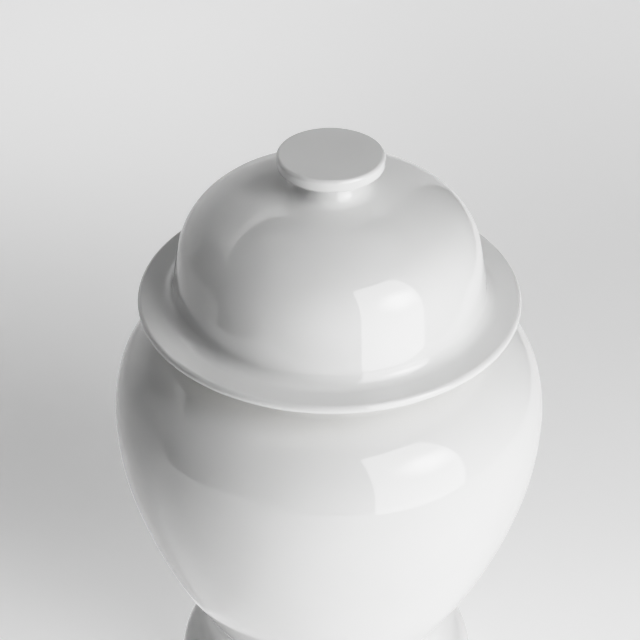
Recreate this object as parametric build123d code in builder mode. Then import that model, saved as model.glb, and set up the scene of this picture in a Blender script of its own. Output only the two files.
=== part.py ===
"""White porcelain temple jar with a domed lid.

The jar stands on Z = 0 with its axis on Z. It is modelled as the sections that are formed one by one and luted
together before firing: foot, floor, lower body, shoulder and mouth collar for the jar, and dome, brim, locating
ring and knob for the lid, which lifts off.
"""

from build123d import *

import os
from math import asin, cos, degrees, radians, sin

os.makedirs("parts", exist_ok=True)

# ---------------------------------------------- driving dimensions, in millimetres and degrees
# The curved outsides are chains of tangent arcs. Each arc is its radius and the angle that it turns through:
# a positive turn bends to the right of the way the chain runs, a negative one to the left.

JAR_WALL = 5.5
BELLY_RADIUS = 116.0
BELLY_HEIGHT = 198.0
LOWER_SHOULDER = (80.0, -17.0)
UPPER_SHOULDER = (40.0, -65.0)
UPPER_FLANK = (172.0, 14.2)
LOWER_FLANK = (326.0, 17.4)
WAIST_ROUND = 28.6
FLARE_ANGLE = 50.0
FOOT_ROUND = 22.7

FLOOR_THICKNESS = 7.0
FLOOR_CORNER_ROUND = 5.0
RECESS_RADIUS = 78.0
RECESS_CORNER_ROUND = 4.0
RESTING_EDGE_ROUND = 1.8

COLLAR_COVE = 5.0
SEAT_HEIGHT = 267.6
RIM_ROUND = 1.5

LID_WALL = 5.0
CROWN = (170.0, 12.0)
HAUNCH = (85.0, 19.0)
LID_SHOULDER = (35.5, 46.8)
DOME_SIDE = (300.0, 4.2)
BRIM_COVE = 7.0
BRIM_RADIUS = 100.0
BRIM_THICKNESS = 4.7
LEDGE_ROUND = 1.2
DOME_CORNER_ROUND = 3.0

RING_CLEARANCE = 1.6
RING_THICKNESS = 4.5
RING_DEPTH = 13.5
RING_ROUND = 1.5

KNOB_RADIUS = 27.2
KNOB_THICKNESS = 7.0
KNOB_TOP_HEIGHT = 354.0
KNOB_TOP_ROUND = 1.8
KNOB_UNDER_ROUND = 2.2
STEM_RADIUS = 17.5
STEM_COVE = (8.0, -66.0)

UP = 90.0
DOWN = -90.0
OUTWARD = 0.0


# ---------------------------------------------- outlines in the XZ plane


def end_of(start, heading, arcs):
    """Where a chain of tangent arcs ends."""
    x, z = start
    for radius, turn in arcs:
        side = 1 if turn > 0 else -1
        before = radians(heading)
        after = radians(heading - turn)
        x += side * radius * (sin(before) - sin(after))
        z += side * radius * (cos(after) - cos(before))
        heading -= turn
    return (x, z)


def draw_arcs(start, heading, arcs, inset=0.0):
    """Draw a chain of tangent arcs, or the line that runs inset to its right, and return its two ends."""
    first = (start[0] + inset * sin(radians(heading)), start[1] - inset * cos(radians(heading)))
    last = first
    for radius, turn in arcs:
        drawn_radius = radius - inset if turn > 0 else radius + inset
        tangent = (cos(radians(heading)), sin(radians(heading)))
        arc = JernArc(last, tangent, drawn_radius, -turn)
        last = ((arc @ 1).X, (arc @ 1).Y)
        heading -= turn
    return first, last


def draw_wall(start, heading, arcs, inset):
    """Draw a wall's closed section: its outside, its inside and the two luted ends square to it."""
    outer_start, outer_end = draw_arcs(start, heading, arcs)
    inner_start, inner_end = draw_arcs(start, heading, arcs, inset)
    Line(outer_start, inner_start)
    Line(outer_end, inner_end)


def corners(sketch, *points):
    """The corners of a sketch that stand at the given points."""
    return [sketch.vertices().sort_by_distance(point)[0] for point in points]


# ---------------------------------------------- levels and radii that follow from the dimensions

belly = (BELLY_RADIUS, BELLY_HEIGHT)
flank = [UPPER_FLANK, LOWER_FLANK, (WAIST_ROUND, -UPPER_FLANK[1] - LOWER_FLANK[1])]
waist = end_of(belly, DOWN, flank)
foot_radius = end_of(waist, DOWN, [(WAIST_ROUND, -FLARE_ANGLE), (FOOT_ROUND, FLARE_ANGLE)])[0]

shoulder_arcs = [LOWER_SHOULDER, UPPER_SHOULDER]
shoulder_turn = LOWER_SHOULDER[1] + UPPER_SHOULDER[1]
shoulder_top = end_of(belly, UP, shoulder_arcs)
collar_heading = UP - shoulder_turn
collar_cove = [(COLLAR_COVE, -shoulder_turn)]
collar_radius = end_of(shoulder_top, collar_heading, collar_cove)[0]
mouth_radius = collar_radius - JAR_WALL

ring_outer_radius = mouth_radius - RING_CLEARANCE
ring_inner_radius = ring_outer_radius - RING_THICKNESS
ring_bottom_height = SEAT_HEIGHT - RING_DEPTH

dome = [CROWN, HAUNCH, LID_SHOULDER, DOME_SIDE]
dome_and_cove = dome + [(BRIM_COVE, -sum(turn for radius, turn in dome))]
brim_top_height = SEAT_HEIGHT + BRIM_THICKNESS
crown_top = (0.0, brim_top_height - end_of((0.0, 0.0), OUTWARD, dome_and_cove)[1])
lip_round = BRIM_THICKNESS / 2

knob_under_height = KNOB_TOP_HEIGHT - KNOB_THICKNESS
stem_spread, stem_drop = end_of((STEM_RADIUS, 0.0), DOWN, [STEM_COVE])
stem_seat = [(CROWN[0], degrees(asin(stem_spread / CROWN[0])))]
stem_cove_top = (STEM_RADIUS, end_of(crown_top, OUTWARD, stem_seat)[1] - stem_drop)


# ---------------------------------------------- jar

with BuildPart() as foot:
    with BuildSketch(Plane.XZ) as foot_section:
        with BuildLine():
            outside = [(WAIST_ROUND, -FLARE_ANGLE), (FOOT_ROUND, FLARE_ANGLE)]
            inside = [(WAIST_ROUND, -FLARE_ANGLE), (FLOOR_CORNER_ROUND + JAR_WALL, 90 + FLARE_ANGLE)]
            waist_outer, foot_outer = draw_arcs(waist, DOWN, outside)
            waist_inner, floor_edge = draw_arcs(waist, DOWN, inside, JAR_WALL)
            recess_height = floor_edge[1] - FLOOR_THICKNESS
            Line(waist_outer, waist_inner)
            Polyline(
                foot_outer,
                (foot_radius, 0),
                (RECESS_RADIUS, 0),
                (RECESS_RADIUS, recess_height),
                (floor_edge[0], recess_height),
                floor_edge,
            )
        make_face()
        fillet(corners(foot_section, (foot_radius, 0), (RECESS_RADIUS, 0)), RESTING_EDGE_ROUND)
        fillet(corners(foot_section, (RECESS_RADIUS, recess_height)), RECESS_CORNER_ROUND)
    revolve(axis=Axis.Z)
foot.part.label = "foot"
export_step(foot.part, "parts/foot.step")

with BuildPart() as jar_floor:
    with BuildSketch(Plane.XY.offset(recess_height)):
        Circle(floor_edge[0])
    extrude(amount=FLOOR_THICKNESS)
jar_floor.part.label = "jar_floor"
export_step(jar_floor.part, "parts/jar_floor.step")

with BuildPart() as lower_body:
    with BuildSketch(Plane.XZ):
        with BuildLine():
            draw_wall(belly, DOWN, flank, JAR_WALL)
        make_face()
    revolve(axis=Axis.Z)
lower_body.part.label = "lower_body"
export_step(lower_body.part, "parts/lower_body.step")

with BuildPart() as shoulder:
    with BuildSketch(Plane.XZ):
        with BuildLine():
            draw_wall(belly, UP, shoulder_arcs, -JAR_WALL)
        make_face()
    revolve(axis=Axis.Z)
shoulder.part.label = "shoulder"
export_step(shoulder.part, "parts/shoulder.step")

with BuildPart() as mouth_collar:
    with BuildSketch(Plane.XZ) as collar_section:
        with BuildLine():
            outer_base, outer_top = draw_arcs(shoulder_top, collar_heading, collar_cove)
            inner_base, inner_top = draw_arcs(shoulder_top, collar_heading, collar_cove, -JAR_WALL)
            Line(outer_base, inner_base)
            Polyline(outer_top, (collar_radius, SEAT_HEIGHT), (mouth_radius, SEAT_HEIGHT), inner_top)
        make_face()
        rim_corners = corners(collar_section, (collar_radius, SEAT_HEIGHT), (mouth_radius, SEAT_HEIGHT))
        fillet(rim_corners, RIM_ROUND)
    revolve(axis=Axis.Z)
mouth_collar.part.label = "mouth_collar"
export_step(mouth_collar.part, "parts/mouth_collar.step")


# ---------------------------------------------- lid

with BuildPart() as lid_dome:
    with BuildSketch(Plane.XZ) as dome_section:
        with BuildLine():
            _, cove_end = draw_arcs(crown_top, OUTWARD, dome_and_cove)
            inner_crown, inner_side = draw_arcs(crown_top, OUTWARD, dome, LID_WALL)
            ledge_corner = (ring_inner_radius, brim_top_height)
            dome_corner = (inner_side[0], brim_top_height)
            Line(crown_top, inner_crown)
            Polyline(
                cove_end,
                (cove_end[0], SEAT_HEIGHT),
                (ring_inner_radius, SEAT_HEIGHT),
                ledge_corner,
                dome_corner,
                inner_side,
            )
        make_face()
        fillet(corners(dome_section, ledge_corner), LEDGE_ROUND)
        fillet(corners(dome_section, dome_corner), DOME_CORNER_ROUND)
    revolve(axis=Axis.Z)
lid_dome.part.label = "lid_dome"
export_step(lid_dome.part, "parts/lid_dome.step")

with BuildPart() as lid_brim:
    with BuildSketch(Plane.XZ):
        with BuildLine():
            lip_start = (BRIM_RADIUS - lip_round, brim_top_height)
            Line(cove_end, lip_start)
            lip = JernArc(lip_start, (1, 0), lip_round, -180)
            Polyline(lip @ 1, (cove_end[0], SEAT_HEIGHT), cove_end)
        make_face()
    revolve(axis=Axis.Z)
lid_brim.part.label = "lid_brim"
export_step(lid_brim.part, "parts/lid_brim.step")

with BuildPart() as lid_locating_ring:
    with BuildSketch(Plane.XZ) as ring_section:
        with BuildLine():
            Polyline(
                (ring_inner_radius, SEAT_HEIGHT),
                (ring_outer_radius, SEAT_HEIGHT),
                (ring_outer_radius, ring_bottom_height),
                (ring_inner_radius, ring_bottom_height),
                close=True,
            )
        make_face()
        ring_edges = [(ring_outer_radius, ring_bottom_height), (ring_inner_radius, ring_bottom_height)]
        fillet(corners(ring_section, *ring_edges), RING_ROUND)
    revolve(axis=Axis.Z)
lid_locating_ring.part.label = "lid_locating_ring"
export_step(lid_locating_ring.part, "parts/lid_locating_ring.step")

with BuildPart() as lid_knob:
    with BuildSketch(Plane.XZ) as knob_section:
        with BuildLine():
            draw_arcs(crown_top, OUTWARD, stem_seat)
            draw_arcs(stem_cove_top, DOWN, [STEM_COVE])
            Polyline(
                stem_cove_top,
                (STEM_RADIUS, knob_under_height),
                (KNOB_RADIUS, knob_under_height),
                (KNOB_RADIUS, KNOB_TOP_HEIGHT),
                (0, KNOB_TOP_HEIGHT),
                crown_top,
            )
        make_face()
        fillet(corners(knob_section, (KNOB_RADIUS, KNOB_TOP_HEIGHT)), KNOB_TOP_ROUND)
        fillet(corners(knob_section, (KNOB_RADIUS, knob_under_height)), KNOB_UNDER_ROUND)
    revolve(axis=Axis.Z)
lid_knob.part.label = "lid_knob"
export_step(lid_knob.part, "parts/lid_knob.step")
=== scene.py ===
"""Looks of the white porcelain temple jar with a domed lid.

Every piece is turned on the jar's axis from its section, one piece for each CAD node, in the node's place.
Lengths are in metres and angles in degrees.
"""

from math import asin, atan2, cos, degrees, hypot, pi, radians, sin, sqrt, tan

import bpy
import numpy as np
from mathutils import Euler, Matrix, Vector


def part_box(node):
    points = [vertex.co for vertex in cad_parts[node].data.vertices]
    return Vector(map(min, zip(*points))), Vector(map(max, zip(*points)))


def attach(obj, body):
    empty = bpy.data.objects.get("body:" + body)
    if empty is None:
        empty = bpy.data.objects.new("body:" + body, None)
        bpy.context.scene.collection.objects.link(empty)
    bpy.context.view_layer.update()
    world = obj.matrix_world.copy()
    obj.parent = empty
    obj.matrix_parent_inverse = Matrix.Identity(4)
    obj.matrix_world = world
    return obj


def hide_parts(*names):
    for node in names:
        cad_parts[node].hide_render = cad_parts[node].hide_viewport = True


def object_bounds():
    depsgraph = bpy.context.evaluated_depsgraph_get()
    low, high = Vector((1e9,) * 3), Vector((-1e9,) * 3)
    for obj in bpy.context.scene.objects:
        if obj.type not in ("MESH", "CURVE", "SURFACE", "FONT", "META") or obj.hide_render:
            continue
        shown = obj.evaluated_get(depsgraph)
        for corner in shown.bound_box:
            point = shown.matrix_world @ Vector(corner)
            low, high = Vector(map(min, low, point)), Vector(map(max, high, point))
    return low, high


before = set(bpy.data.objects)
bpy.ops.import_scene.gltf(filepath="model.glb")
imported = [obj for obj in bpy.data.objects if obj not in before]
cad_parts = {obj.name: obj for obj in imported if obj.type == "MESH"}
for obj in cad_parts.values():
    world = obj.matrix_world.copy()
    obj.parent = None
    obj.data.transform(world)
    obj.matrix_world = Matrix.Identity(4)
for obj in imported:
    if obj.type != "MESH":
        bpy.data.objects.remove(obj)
cad_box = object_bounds()

# ---------------------------------------------- sections
# A chain of tangent arcs is a list of (radius, turn): a positive turn bends to the right of the way it runs.

JAR_WALL = 0.0055
LOWER_SHOULDER = (0.080, -17.0)
UPPER_SHOULDER = (0.040, -65.0)
UPPER_FLANK = (0.172, 14.2)
LOWER_FLANK = (0.326, 17.4)
WAIST_ROUND = 0.0286
FLARE_ANGLE = 50.0
FOOT_ROUND = 0.0227
FLOOR_CORNER_ROUND = 0.005
RECESS_CORNER_ROUND = 0.004
RESTING_EDGE_ROUND = 0.0018
RECESS_RADIUS = 0.078
COLLAR_COVE = 0.005
RIM_ROUND = 0.0015

LID_WALL = 0.005
CROWN = (0.170, 12.0)
HAUNCH = (0.085, 19.0)
LID_SHOULDER = (0.0355, 46.8)
DOME_SIDE = (0.300, 4.2)
BRIM_COVE = 0.007
LEDGE_ROUND = 0.0012
DOME_CORNER_ROUND = 0.003
RING_ROUND = 0.0015

KNOB_THICKNESS = 0.007
KNOB_TOP_ROUND = 0.0018
KNOB_UNDER_ROUND = 0.0022
STEM_RADIUS = 0.0175
STEM_TOP_ROUND = 0.0025
STEM_COVE = 0.008

UP = 90.0
DOWN = -90.0
OUTWARD = 0.0

SEGMENTS = 240
ARC_STEP = 1.5
LONGEST_STEP = 0.0025

GLAZED = 0
BARE = 1
WELD = 1e-7


# A run is a stretch of a section: its points, the outward normal at each of them, and its finish. A section
# is traced with the solid on its right, so the outward normal is on its left.

def chain(start, heading, arcs, finish=GLAZED):
    """The run of a chain of tangent arcs."""
    points = [start]
    angles = [heading]
    x, z = start
    for radius, turn in arcs:
        side = 1 if turn > 0 else -1
        steps = max(2, round(abs(turn) / ARC_STEP), round(radius * radians(abs(turn)) / LONGEST_STEP))
        for step in range(1, steps + 1):
            angle = heading - turn * step / steps
            px = x + side * radius * (sin(radians(heading)) - sin(radians(angle)))
            pz = z + side * radius * (cos(radians(angle)) - cos(radians(heading)))
            points.append((px, pz))
            angles.append(angle)
        x, z = points[-1]
        heading -= turn
    turned = np.radians(angles)
    return np.array(points), np.column_stack((-np.sin(turned), np.cos(turned))), finish


def straight(start, end, finish=GLAZED):
    """The run of a straight line."""
    start, end = np.array(start), np.array(end)
    length = np.linalg.norm(end - start)
    along = (end - start) / length
    steps = max(1, round(length / LONGEST_STEP))
    points = start + np.linspace(0, 1, steps + 1)[:, None] * (end - start)
    return points, np.tile((-along[1], along[0]), (steps + 1, 1)), finish


def flipped(run):
    """The same line traced the other way, with the solid on its other side."""
    points, normals, finish = run
    return points[::-1], -normals[::-1], finish


def shifted(run, distance):
    """The parallel line at a distance along the run's normals."""
    points, normals, finish = run
    return points + distance * normals, normals, finish


def cornered(*points, rounds=(), finishes=()):
    """The runs of a line through points, with a round at each inner point and a finish for each straight."""
    rounds = list(rounds) or [0] * (len(points) - 2)
    finishes = list(finishes) or [GLAZED] * (len(points) - 1)
    runs = []
    start = np.array(points[0])
    for at, after, size, finish in zip(points[1:-1], points[2:], rounds, finishes):
        at, after = np.array(at), np.array(after)
        coming = (at - start) / np.linalg.norm(at - start)
        going = (after - at) / np.linalg.norm(after - at)
        turn = degrees(atan2(coming[1] * going[0] - coming[0] * going[1], coming @ going))
        cut = size * tan(radians(abs(turn) / 2))
        if np.linalg.norm(at - start) - cut > 1e-6:
            runs.append(straight(start, at - cut * coming, finish))
        start = at + cut * going
        if size:
            heading = degrees(atan2(coming[1], coming[0]))
            runs.append(chain(tuple(at - cut * coming), heading, [(size, turn)]))
    if np.linalg.norm(np.array(points[-1]) - start) > 1e-6:
        runs.append(straight(start, points[-1], finishes[-1]))
    return runs


def ends(run):
    """The first and the last point of a run."""
    return tuple(run[0][0]), tuple(run[0][-1])


# ---------------------------------------------- places, from the frame


def radius_of(node):
    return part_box(node)[1].x


def top_of(node):
    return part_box(node)[1].z


def bottom_of(node):
    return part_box(node)[0].z


belly = (radius_of("lower_body"), bottom_of("shoulder"))
flank_turn = UPPER_FLANK[1] + LOWER_FLANK[1]
outer_flank = chain(belly, DOWN, [UPPER_FLANK, LOWER_FLANK, (WAIST_ROUND, -flank_turn)])
waist = ends(outer_flank)[1]
outer_foot = chain(waist, DOWN, [(WAIST_ROUND, -FLARE_ANGLE), (FOOT_ROUND, FLARE_ANGLE)])
floor_corner = (FLOOR_CORNER_ROUND + JAR_WALL, UP + FLARE_ANGLE)
inner_foot = shifted(chain(waist, DOWN, [(WAIST_ROUND, -FLARE_ANGLE), floor_corner]), -JAR_WALL)
floor_edge = ends(inner_foot)[1]
recess_height = bottom_of("jar_floor")

shoulder_turn = LOWER_SHOULDER[1] + UPPER_SHOULDER[1]
shoulder_rise = chain(belly, UP, [LOWER_SHOULDER, UPPER_SHOULDER])
collar_rise = chain(ends(shoulder_rise)[1], UP - shoulder_turn, [(COLLAR_COVE, -shoulder_turn)])
seat_height = top_of("mouth_collar")

dome_arcs = [CROWN, HAUNCH, LID_SHOULDER, DOME_SIDE]
dome_turn = sum(turn for radius, turn in dome_arcs)
crown_top = (0.0, top_of("lid_dome"))
outer_dome = chain(crown_top, OUTWARD, dome_arcs + [(BRIM_COVE, -dome_turn)])
inner_dome = shifted(chain(crown_top, OUTWARD, dome_arcs), -LID_WALL)
cove_end = ends(outer_dome)[1]
inner_side = ends(inner_dome)[1]
brim_top = top_of("lid_brim")
ring_outer = radius_of("lid_locating_ring")


# ---------------------------------------------- sections, one for each piece


def foot_section():
    foot_radius = ends(outer_foot)[1][0]
    base = cornered(
        ends(outer_foot)[1],
        (foot_radius, 0),
        (RECESS_RADIUS, 0),
        (RECESS_RADIUS, recess_height),
        (floor_edge[0], recess_height),
        rounds=(RESTING_EDGE_ROUND, RESTING_EDGE_ROUND, RECESS_CORNER_ROUND),
        finishes=(GLAZED, BARE, GLAZED, GLAZED),
    )
    floor_side = straight((floor_edge[0], recess_height), floor_edge)
    inside = flipped(inner_foot)
    return [outer_foot, *base, floor_side, inside, straight(ends(inside)[1], waist)]


def floor_section():
    top = (0.0, floor_edge[1])
    return cornered(top, floor_edge, (floor_edge[0], recess_height), (0.0, recess_height))


def lower_body_section():
    inside = flipped(shifted(outer_flank, -JAR_WALL))
    return [outer_flank, straight(waist, ends(inside)[0]), inside, straight(ends(inside)[1], belly)]


def shoulder_section():
    inside = shifted(shoulder_rise, JAR_WALL)
    outside = flipped(shoulder_rise)
    return [outside, straight(belly, ends(inside)[0]), inside, straight(ends(inside)[1], ends(outside)[0])]


def mouth_collar_section():
    inside = shifted(collar_rise, JAR_WALL)
    outside = flipped(collar_rise)
    rim = cornered(
        ends(inside)[1],
        (ends(inside)[1][0], seat_height),
        (ends(outside)[0][0], seat_height),
        ends(outside)[0],
        rounds=(RIM_ROUND, RIM_ROUND),
        finishes=(GLAZED, BARE, GLAZED),
    )
    return [*rim, outside, straight(ends(outside)[1], ends(inside)[0]), inside]


def lid_dome_section():
    ring_inner = ring_inner_radius()
    under = cornered(
        cove_end,
        (cove_end[0], seat_height),
        (ring_inner, seat_height),
        (ring_inner, brim_top),
        (inner_side[0], brim_top),
        inner_side,
        rounds=(0, 0, LEDGE_ROUND, DOME_CORNER_ROUND),
        finishes=(GLAZED, BARE, GLAZED, GLAZED, GLAZED),
    )
    return [outer_dome, *under, flipped(inner_dome)]


def lid_brim_section():
    lip = (brim_top - seat_height) / 2
    lip_start = (radius_of("lid_brim") - lip, brim_top)
    edge = chain(lip_start, OUTWARD, [(lip, 180)])
    under = cornered(ends(edge)[1], (cove_end[0], seat_height), cove_end)
    return [straight(cove_end, lip_start), edge, *under]


def ring_inner_radius():
    """The locating ring's inner radius, measured on the CAD ring's vertices."""
    return min(hypot(v.co.x, v.co.y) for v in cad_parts["lid_locating_ring"].data.vertices)


def locating_ring_section():
    ring_inner = ring_inner_radius()
    bottom = bottom_of("lid_locating_ring")
    return cornered(
        (ring_inner, seat_height),
        (ring_outer, seat_height),
        (ring_outer, bottom),
        (ring_inner, bottom),
        (ring_inner, seat_height),
        rounds=(0, RING_ROUND, RING_ROUND),
        finishes=(BARE, BARE, BARE, BARE),
    )


def knob_section():
    knob_radius = radius_of("lid_knob")
    knob_top = top_of("lid_knob")
    knob_under = knob_top - KNOB_THICKNESS
    reach = STEM_RADIUS + STEM_COVE
    dome_radius = CROWN[0]
    # The cove is tangent to the crown: their centres are their radii apart.
    lean = degrees(asin(reach / (dome_radius + STEM_COVE)))
    cove_top = (STEM_RADIUS, crown_top[1] - dome_radius + (dome_radius + STEM_COVE) * cos(radians(lean)))
    cove = chain(cove_top, DOWN, [(STEM_COVE, lean - UP)])
    seat = flipped(chain(crown_top, OUTWARD, [(dome_radius, lean)]))
    disc = cornered(
        (0.0, knob_top),
        (knob_radius, knob_top),
        (knob_radius, knob_under),
        (STEM_RADIUS, knob_under),
        cove_top,
        rounds=(KNOB_TOP_ROUND, KNOB_UNDER_ROUND, STEM_TOP_ROUND),
    )
    return [*disc, cove, seat]


# ---------------------------------------------- turning the pieces
# A hand-thrown round is never true.
# Each wave is (depth, lobes round the axis, waves per metre of height, phase).

OUT_OF_ROUND = [
    (0.00011, 2, 1.6, 0.4),
    (0.00007, 3, -3.1, 1.9),
    (0.00003, 5, 6.3, 4.0),
    (0.00002, 7, -11.0, 0.8),
]
# Each wave is (height, waves per metre along X, waves per metre along Y, phase).
UNEVEN_TOP = [
    (0.00006, 6.0, 17.0, 0.3),
    (0.00004, -21.0, 12.0, 2.2),
    (0.00002, 34.0, 29.0, 1.1),
]
HALF_STEP = 0.0002


def warp(points):
    """How far the clay stands from its true place, at points of the row frame. It never stands proud."""
    x, y, z = points.T
    turn = np.arctan2(y, x)
    inward = sum(d * (1 - np.cos(n * turn + 2 * pi * k * z + p)) for d, n, k, p in OUT_OF_ROUND)
    sink = sum(h * (1 - np.cos(2 * pi * (a * x + b * y) + p)) for h, a, b, p in UNEVEN_TOP)
    share = -inward / belly[0]
    return np.column_stack((x * share, y * share, -sink * z / cad_box[1].z))


def warped(points, normals):
    """Points and normals after the warp: a normal leans by the slope of its own share of the warp."""
    leaned = normals.copy()
    for axis in range(3):
        step = np.zeros(3)
        step[axis] = HALF_STEP
        slope = (warp(points + step) - warp(points - step)) / (2 * HALF_STEP)
        leaned[:, axis] -= (slope * normals).sum(1)
    leaned /= np.linalg.norm(leaned, axis=1)[:, None]
    return points + warp(points), leaned


def turned(name, section, materials):
    """A closed mesh turned from a section. A ring on the axis is a single vertex."""
    rings, bands = [section[0][0][0]], []
    for points, normals, finish in section:
        for step in range(1, len(points)):
            bands.append((len(rings) - 1, len(rings), normals[step - 1], normals[step], finish))
            rings.append(points[step])
    if np.linalg.norm(rings[-1] - rings[0]) < WELD:
        rings.pop()
        bands[-1] = (bands[-1][0], 0, *bands[-1][2:])

    turns = np.arange(SEGMENTS) * 2 * pi / SEGMENTS
    round_the_axis = np.column_stack((np.cos(turns), np.sin(turns)))
    here = np.arange(SEGMENTS)
    after = (here + 1) % SEGMENTS
    counts = [1 if r < WELD else SEGMENTS for r, z in rings]
    first = np.concatenate(([0], np.cumsum(counts)))
    places = np.concatenate([
        np.array([[0, 0, z]]) if count == 1 else np.column_stack((r * round_the_axis, np.full(SEGMENTS, z)))
        for (r, z), count in zip(rings, counts)
    ])

    corners, normals, sizes, finishes = [], [], [], []
    for a, b, normal_a, normal_b, finish in bands:
        ring_a = [(a, normal_a, here)] if counts[a] == 1 else [(a, normal_a, after), (a, normal_a, here)]
        ring_b = [(b, normal_b, here)] if counts[b] == 1 else [(b, normal_b, here), (b, normal_b, after)]
        face = ring_b + ring_a
        columns = [first[ring] + at * (counts[ring] > 1) for ring, _, at in face]
        corners.append(np.column_stack(columns).ravel())
        normals.append(np.stack([
            np.column_stack((normal[0] * round_the_axis[at], np.full(SEGMENTS, normal[1])))
            for _, normal, at in face
        ], axis=1).reshape(-1, 3))
        sizes += [len(face)] * SEGMENTS
        finishes += [finish] * SEGMENTS
    corners, normals = np.concatenate(corners), np.concatenate(normals)
    _, leaned = warped(places[corners], normals)

    mesh = bpy.data.meshes.new(name)
    mesh.vertices.add(len(places))
    mesh.vertices.foreach_set("co", (places + warp(places)).ravel())
    mesh.loops.add(len(corners))
    mesh.loops.foreach_set("vertex_index", corners)
    mesh.polygons.add(len(sizes))
    mesh.polygons.foreach_set("loop_start", np.concatenate(([0], np.cumsum(sizes)[:-1])))
    for material in materials:
        mesh.materials.append(material)
    mesh.polygons.foreach_set("material_index", finishes)
    mesh.update(calc_edges=True)
    mesh.shade_smooth()
    mesh.normals_split_custom_set(leaned)
    piece = bpy.data.objects.new(name, mesh)
    bpy.context.scene.collection.objects.link(piece)
    return piece


# ---------------------------------------------- materials

GLAZE_IOR = 1.55
# Nearly all of a noise texture's values lie in this range.
NOISE_RANGE = (0.3, 0.7)

def new_material(name):
    material = bpy.data.materials.new(name)
    material.use_nodes = True
    nodes = material.node_tree.nodes
    return material, nodes, material.node_tree.links, nodes["Principled BSDF"]


def noise(nodes, links, place, scale, detail=2.0):
    """A noise texture in the row frame, with its scale in cycles per metre."""
    node = nodes.new("ShaderNodeTexNoise")
    node.inputs["Scale"].default_value = scale
    node.inputs["Detail"].default_value = detail
    links.new(place, node.inputs["Vector"])
    return node.outputs["Fac"]


def between(nodes, links, value, source, target, interpolation="LINEAR"):
    """A value brought from one range to another, and held at its ends."""
    node = nodes.new("ShaderNodeMapRange")
    node.interpolation_type = interpolation
    node.inputs["From Min"].default_value, node.inputs["From Max"].default_value = source
    for name, end in zip(("To Min", "To Max"), target):
        if isinstance(end, (int, float)):
            node.inputs[name].default_value = end
        else:
            links.new(end, node.inputs[name])
    links.new(value, node.inputs["Value"])
    return node.outputs["Result"]


def spread(nodes, links, value, low, high):
    """A noise value brought to the range from low to high."""
    return between(nodes, links, value, NOISE_RANGE, (low, high))


def bump(nodes, links, height, distance, before=None):
    """A bump of a height map that stands at most distance proud."""
    node = nodes.new("ShaderNodeBump")
    node.inputs["Strength"].default_value = 1.0
    node.inputs["Distance"].default_value = distance
    links.new(height, node.inputs["Height"])
    if before:
        links.new(before, node.inputs["Normal"])
    return node.outputs["Normal"]


def glaze_material():
    """White porcelain under a clear glossy glaze, which lies in very soft waves."""
    material, nodes, links, shader = new_material("clear_glaze")
    place = nodes.new("ShaderNodeTexCoord").outputs["Object"]
    tint = nodes.new("ShaderNodeMix")
    tint.data_type = "RGBA"
    tint.inputs["A"].default_value = (0.715, 0.717, 0.713, 1)
    tint.inputs["B"].default_value = (0.745, 0.746, 0.743, 1)
    links.new(spread(nodes, links, noise(nodes, links, place, 22), 0, 1), tint.inputs["Factor"])
    links.new(tint.outputs["Result"], shader.inputs["Base Color"])
    gloss = spread(nodes, links, noise(nodes, links, place, 90), 0.01, 0.03)
    links.new(gloss, shader.inputs["Roughness"])
    waves = bump(nodes, links, noise(nodes, links, place, 45), 0.00005)
    peel = bump(nodes, links, noise(nodes, links, place, 420), 0.0000004, before=waves)
    links.new(peel, shader.inputs["Normal"])
    shader.inputs["IOR"].default_value = GLAZE_IOR
    return material


def biscuit_material():
    """Unglazed porcelain: matt, slightly warm, with the fine grain of ground clay."""
    material, nodes, links, shader = new_material("bare_biscuit")
    place = nodes.new("ShaderNodeTexCoord").outputs["Object"]
    tint = nodes.new("ShaderNodeMix")
    tint.data_type = "RGBA"
    tint.inputs["A"].default_value = (0.70, 0.675, 0.63, 1)
    tint.inputs["B"].default_value = (0.80, 0.785, 0.75, 1)
    links.new(spread(nodes, links, noise(nodes, links, place, 160, 6), 0, 1), tint.inputs["Factor"])
    links.new(tint.outputs["Result"], shader.inputs["Base Color"])
    links.new(spread(nodes, links, noise(nodes, links, place, 300), 0.62, 0.8), shader.inputs["Roughness"])
    grain = bump(nodes, links, noise(nodes, links, place, 2600, 4), 0.00006)
    links.new(grain, shader.inputs["Normal"])
    return material


glaze = glaze_material()
biscuit = biscuit_material()

# ---------------------------------------------- the pieces

PIECES = [
    ("foot", "jar", "glaze", foot_section),
    ("jar_floor", "jar", "glaze", floor_section),
    ("lower_body", "jar", "glaze", lower_body_section),
    ("shoulder", "jar", "glaze", shoulder_section),
    ("mouth_collar", "jar", "glaze", mouth_collar_section),
    ("lid_dome", "lid", "glaze", lid_dome_section),
    ("lid_brim", "lid", "glaze", lid_brim_section),
    ("lid_locating_ring", "lid", "biscuit", locating_ring_section),
    ("lid_knob", "lid", "glaze", knob_section),
]

for node, body, slot, section in PIECES:
    piece = turned("glazed_" + node, section(), [glaze, biscuit])
    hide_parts(node)
    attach(piece, body)

# ---------------------------------------------- stage

# The lamp lights the clay and the mirror shows in the glaze. Each has its azimuth, distance, width, radiance
# and the radiance that its hot spot adds.
SOFTBOX_LAMP = (45.0, 0.754, 0.54, 6.8, 0.4)
SOFTBOX_MIRROR = (43.0, 0.756, 0.62, 6.8, 14.0)
SOFTBOX_HEIGHT = 1.33
HOT_SPOT_HEIGHT = 0.60
HOT_SPOT_AZIMUTH = 51.0
HOT_SPOT_RADIUS = 0.30


def towards(azimuth, elevation, distance, height=0.0):
    """The place at a distance from the jar's axis. Azimuth 0 is in front of the jar, and 90 to its right."""
    a, e = radians(azimuth), radians(elevation)
    return Vector((sin(a) * cos(e), -cos(a) * cos(e), sin(e))) * distance + Vector((0, 0, height))


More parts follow.
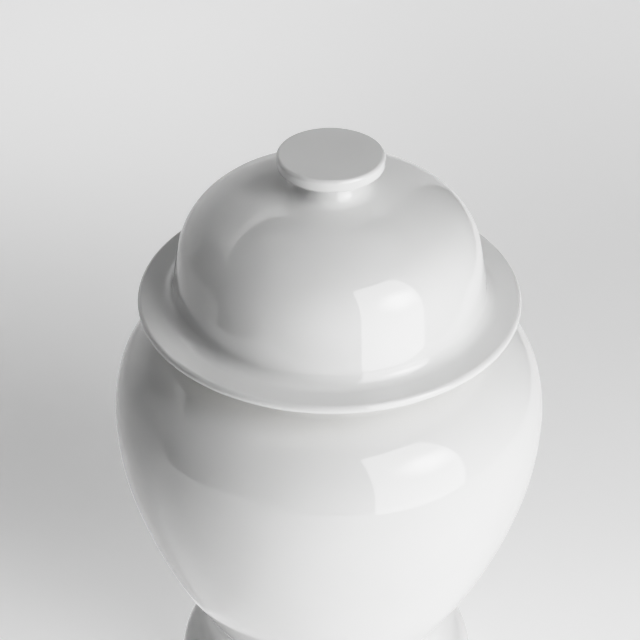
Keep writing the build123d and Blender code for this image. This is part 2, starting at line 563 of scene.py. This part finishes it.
def quad(name, corners, material):
    mesh = bpy.data.meshes.new(name)
    mesh.from_pydata([tuple(c) for c in corners], [], [list(range(len(corners)))])
    mesh.materials.append(material)
    sheet = bpy.data.objects.new(name, mesh)
    bpy.context.scene.collection.objects.link(sheet)
    return sheet


def paper_material(name, albedo, glow):
    """Matt white paper that glows."""
    material, nodes, links, shader = new_material(name)
    shader.inputs["Base Color"].default_value = (albedo, albedo, albedo, 1)
    shader.inputs["Roughness"].default_value = 0.9
    shader.inputs["Specular IOR Level"].default_value = 0.0
    shader.inputs["Emission Color"].default_value = (1, 1, 1, 1)
    shader.inputs["Emission Strength"].default_value = glow
    return material


PAPER_ALBEDO = 0.85
FLOOR_ALBEDO = 0.73
FLOOR_REACH = 9.0
# How brightly the floor glows at its left and at its right, at each depth behind the jar's axis. This glow
# is painted light on the floor. Its dip from 0.15 to 0.4 behind the axis is painted shadow of the jar,
# deepest on the left.
FLOOR_DEPTHS = [0.0, 0.15, 0.4, 0.6, 0.9]
FLOOR_LEFT_PAINTED_LIGHT = [0.65, 0.3, 0.45, 0.75, 1.0]
FLOOR_RIGHT_PAINTED_LIGHT = [0.65, 0.45, 0.4, 0.55, 0.7]
FLOOR_SIDES = (-0.25, 0.25)
FAR_GLOW = 0.78
FAR_BLEND = (0.6, 1.3)
# The floor turns dark to the light before it reaches the softbox, whose own plane would cut a hard edge.
SOFTBOX_FADE = (0.2, 0.68)
TABLE_LEFT, TABLE_MIDDLE, TABLE_RIGHT = -0.80, -0.10, 0.75
TABLE_FRONT, TABLE_BACK = -0.90, 1.42
WALL_LEVELS = [0.0, 0.75, 1.36, 1.72, 2.02]
WALL_PLAN = [(0.56, 1.42), (-0.1, 1.45), (-0.65, 1.45), (-1.6, 0.9), (-2.4, 0.35), (-2.45, -0.12)]
# The glaze mirrors the wall brightest in its middle bays and its top row.
WALL_BAYS = [0.6, 0.9, 0.9, 0.5, 0.3]
WALL_ROWS = [1.0, 0.7, 0.9, 2.0]
WALL_GLOW = 0.04


def level(left, front, right, back, height=0.0):
    """The corners of a level rectangle."""
    return [(left, front, height), (right, front, height), (right, back, height), (left, back, height)]


def upright(start, end, bottom, top):
    """The corners of an upright rectangle over a line on the floor."""
    return [(*start, bottom), (*end, bottom), (*end, top), (*start, top)]


def painted_light_floor_material():
    """White paper with painted light: an uneven glow behind the jar, dimmed by painted shadow of the jar,
    and an even glow far from it.

    Near the softbox it reflects nothing and only glows.
    """
    material = paper_material("floor_paper_painted_light", FLOOR_ALBEDO, FAR_GLOW)
    nodes, links = material.node_tree.nodes, material.node_tree.links
    shader = nodes["Principled BSDF"]
    place = nodes.new("ShaderNodeTexCoord").outputs["Object"]
    parts = nodes.new("ShaderNodeSeparateXYZ")
    links.new(place, parts.inputs[0])
    # The glow by place is painted light on the floor, and its dip just behind the jar is painted shadow of
    # the jar.
    depth = between(nodes, links, parts.outputs["Y"], (0.0, 1.0), (0.0, 1.0))
    side_painted_light = []
    for glows in (FLOOR_LEFT_PAINTED_LIGHT, FLOOR_RIGHT_PAINTED_LIGHT):
        ramp = nodes.new("ShaderNodeValToRGB")
        ramp.color_ramp.interpolation = "B_SPLINE"
        stops = ramp.color_ramp.elements
        while len(stops) < len(glows):
            stops.new(0.5)
        for stop, at, glow in zip(stops, FLOOR_DEPTHS, glows):
            stop.position = at
            stop.color = (glow, glow, glow, 1)
        links.new(depth, ramp.inputs["Fac"])
        side_painted_light.append(ramp.outputs["Color"])
    near_painted_light = between(nodes, links, parts.outputs["X"], FLOOR_SIDES, side_painted_light, "SMOOTHSTEP")
    length = nodes.new("ShaderNodeVectorMath")
    length.operation = "LENGTH"
    links.new(place, length.inputs[0])
    glow = between(nodes, links, length.outputs["Value"], FAR_BLEND, (near_painted_light, FAR_GLOW), "SMOOTHSTEP")
    links.new(glow, shader.inputs["Emission Strength"])
    reach = nodes.new("ShaderNodeVectorMath")
    reach.operation = "DOT_PRODUCT"
    reach.inputs[1].default_value = towards(SOFTBOX_LAMP[0], 0, 1)
    links.new(place, reach.inputs[0])
    albedo = between(nodes, links, reach.outputs["Value"], SOFTBOX_FADE, (FLOOR_ALBEDO, 0), "SMOOTHSTEP")
    links.new(albedo, shader.inputs["Base Color"])
    return material


floor = quad("floor", level(-FLOOR_REACH, -FLOOR_REACH, FLOOR_REACH, FLOOR_REACH), painted_light_floor_material())
floor.visible_glossy = False
floor.visible_diffuse = False
floor.visible_shadow = False

# A lamp card lights the clay and a mirror card shows in the glaze. Each is its name, corners and glow.
LAMP_DEPTH, MIRROR_DEPTH = 0.001, 0.002


def table(depth):
    """The four parts of the table, laid at a depth below the floor."""
    return {
        "front_left": level(TABLE_LEFT, TABLE_FRONT, TABLE_MIDDLE, 0, -depth),
        "front_right": level(TABLE_MIDDLE, TABLE_FRONT, TABLE_RIGHT, 0, -depth),
        "back_left": level(TABLE_LEFT, 0, TABLE_MIDDLE, TABLE_BACK, -depth),
        "back_right": level(TABLE_MIDDLE, 0, TABLE_RIGHT, TABLE_BACK, -depth),
    }


TABLE_LAMPS = {"front_left": 0.34, "front_right": 1.15, "back_left": 0.18, "back_right": 0.8}
TABLE_MIRRORS = {"front_left": 0.85, "front_right": 0.55, "back_left": 0.6, "back_right": 0.55}
LEFT_FLOOR_FRONT = -0.15
LEFT_FLOOR_GLOW, LEFT_FLOOR_SHINE = 0.03, 0.8
CEILING_HEIGHT = 2.2
CEILING_GLOW, CEILING_SHINE = 0.05, 0.7

lamps = [("lamp_" + part, table(LAMP_DEPTH)[part], glow) for part, glow in TABLE_LAMPS.items()]
mirrors = [("mirror_" + part, table(MIRROR_DEPTH)[part], glow) for part, glow in TABLE_MIRRORS.items()]
left_floor = level(WALL_PLAN[-1][0], LEFT_FLOOR_FRONT, TABLE_LEFT, TABLE_BACK, -MIRROR_DEPTH)
ceiling = level(-1.0, -0.6, 1.0, 1.0, CEILING_HEIGHT)
lamps += [("lamp_left_floor", left_floor, LEFT_FLOOR_GLOW), ("lamp_ceiling", ceiling, CEILING_GLOW)]
mirrors += [("mirror_left_floor", left_floor, LEFT_FLOOR_SHINE), ("mirror_ceiling", ceiling, CEILING_SHINE)]
for bay, bay_shine in enumerate(WALL_BAYS):
    for row, row_shine in enumerate(WALL_ROWS):
        sheet = upright(*WALL_PLAN[bay:bay + 2], *WALL_LEVELS[row:row + 2])
        mirrors.append((f"mirror_wall_{bay}_{row}", sheet, bay_shine * row_shine))
        lamps.append((f"lamp_wall_{bay}_{row}", sheet, WALL_GLOW))
for name, corners, glow in lamps + mirrors:
    card = quad(name, corners, paper_material(name + "_paper", PAPER_ALBEDO, glow))
    card.visible_camera = False
    card.visible_glossy = name.startswith("mirror")
    card.visible_diffuse = name.startswith("lamp")
    card.visible_shadow = False

# ---------------------------------------------- light


def area_light(name, place, aim, width, height, radiance):
    """A rectangular light that glows with a radiance over its face."""
    data = bpy.data.lights.new(name, "AREA")
    data.shape = "RECTANGLE"
    data.size = width
    data.size_y = height
    data.energy = radiance * width * height * pi
    light = bpy.data.objects.new(name, data)
    bpy.context.scene.collection.objects.link(light)
    light.location = place
    light.rotation_euler = (Vector(aim) - Vector(place)).to_track_quat("-Z", "Y").to_euler()
    light.visible_camera = False
    return light


def softbox(name, azimuth, away, width, radiance, hot_spot):
    """A tall softbox in front of the jar and to its right, with a round hot spot on its face."""
    place = towards(azimuth, 0, away, SOFTBOX_HEIGHT / 2)
    light = area_light(name, place, (0, 0, place.z), width, SOFTBOX_HEIGHT, 1.0)
    light.data.use_nodes = True
    nodes, links = light.data.node_tree.nodes, light.data.node_tree.links
    offset = radians(HOT_SPOT_AZIMUTH - azimuth)
    spot = towards(HOT_SPOT_AZIMUTH, 0, away / cos(offset), HOT_SPOT_HEIGHT)
    distance = nodes.new("ShaderNodeVectorMath")
    distance.operation = "DISTANCE"
    distance.inputs[1].default_value = spot
    links.new(nodes.new("ShaderNodeNewGeometry").outputs["Position"], distance.inputs[0])
    levels = (radiance + hot_spot, radiance)
    strength = between(nodes, links, distance.outputs["Value"], (0, HOT_SPOT_RADIUS), levels, "SMOOTHERSTEP")
    links.new(strength, nodes["Emission"].inputs["Strength"])
    return light


softbox("softbox_lamp", *SOFTBOX_LAMP).visible_glossy = False
softbox("softbox_mirror", *SOFTBOX_MIRROR).visible_diffuse = False

ROOM_GLOW = 0.0
CAMERA_BACKGROUND = 0.8


def room():
    """A dark room round the table, which the camera sees as pale."""
    world = bpy.data.worlds.new("room")
    bpy.context.scene.world = world
    world.use_nodes = True
    nodes, links = world.node_tree.nodes, world.node_tree.links
    background = nodes["Background"]
    seen = nodes.new("ShaderNodeLightPath").outputs["Is Camera Ray"]
    glow = between(nodes, links, seen, (0, 1), (ROOM_GLOW, CAMERA_BACKGROUND))
    links.new(glow, background.inputs["Strength"])
    background.inputs["Color"].default_value = (1, 1, 1, 1)


room()

# ---------------------------------------------- camera

CAMERA_PLACE = (-0.00489, -0.78096, 0.80911)
CAMERA_PITCH = 54.524
CAMERA_ROLL = 0.336
CAMERA_LENS = 102.32

camera_data = bpy.data.cameras.new("camera")
camera_data.lens = CAMERA_LENS
camera_data.sensor_width = 36.0
camera = bpy.data.objects.new("camera", camera_data)
bpy.context.scene.collection.objects.link(camera)
camera.location = CAMERA_PLACE
tilt = Euler((radians(CAMERA_PITCH), 0, 0)).to_matrix() @ Euler((0, 0, radians(CAMERA_ROLL))).to_matrix()
camera.rotation_euler = tilt.to_euler()
bpy.context.scene.camera = camera

TONE_REACH = 6.0
TONE_STEPS = 12
COMBINED_CURVE = 3


def soft_highlights():
    """A tone curve that bends bright tones over softly, as film does: y = x / sqrt(1 + x * x)."""
    view = bpy.context.scene.view_settings
    view.view_transform = "Standard"
    view.use_curve_mapping = True
    mapping = view.curve_mapping
    mapping.white_level = (TONE_REACH, TONE_REACH, TONE_REACH)
    points = mapping.curves[COMBINED_CURVE].points
    for step in range(1, TONE_STEPS):
        share = (step / TONE_STEPS) ** 2
        tone = share * TONE_REACH
        points.new(share, tone / sqrt(1 + tone * tone))
    points[-1].location = (1.0, TONE_REACH / sqrt(1 + TONE_REACH * TONE_REACH))
    mapping.update()


soft_highlights()
bpy.context.scene.cycles.use_denoising = True
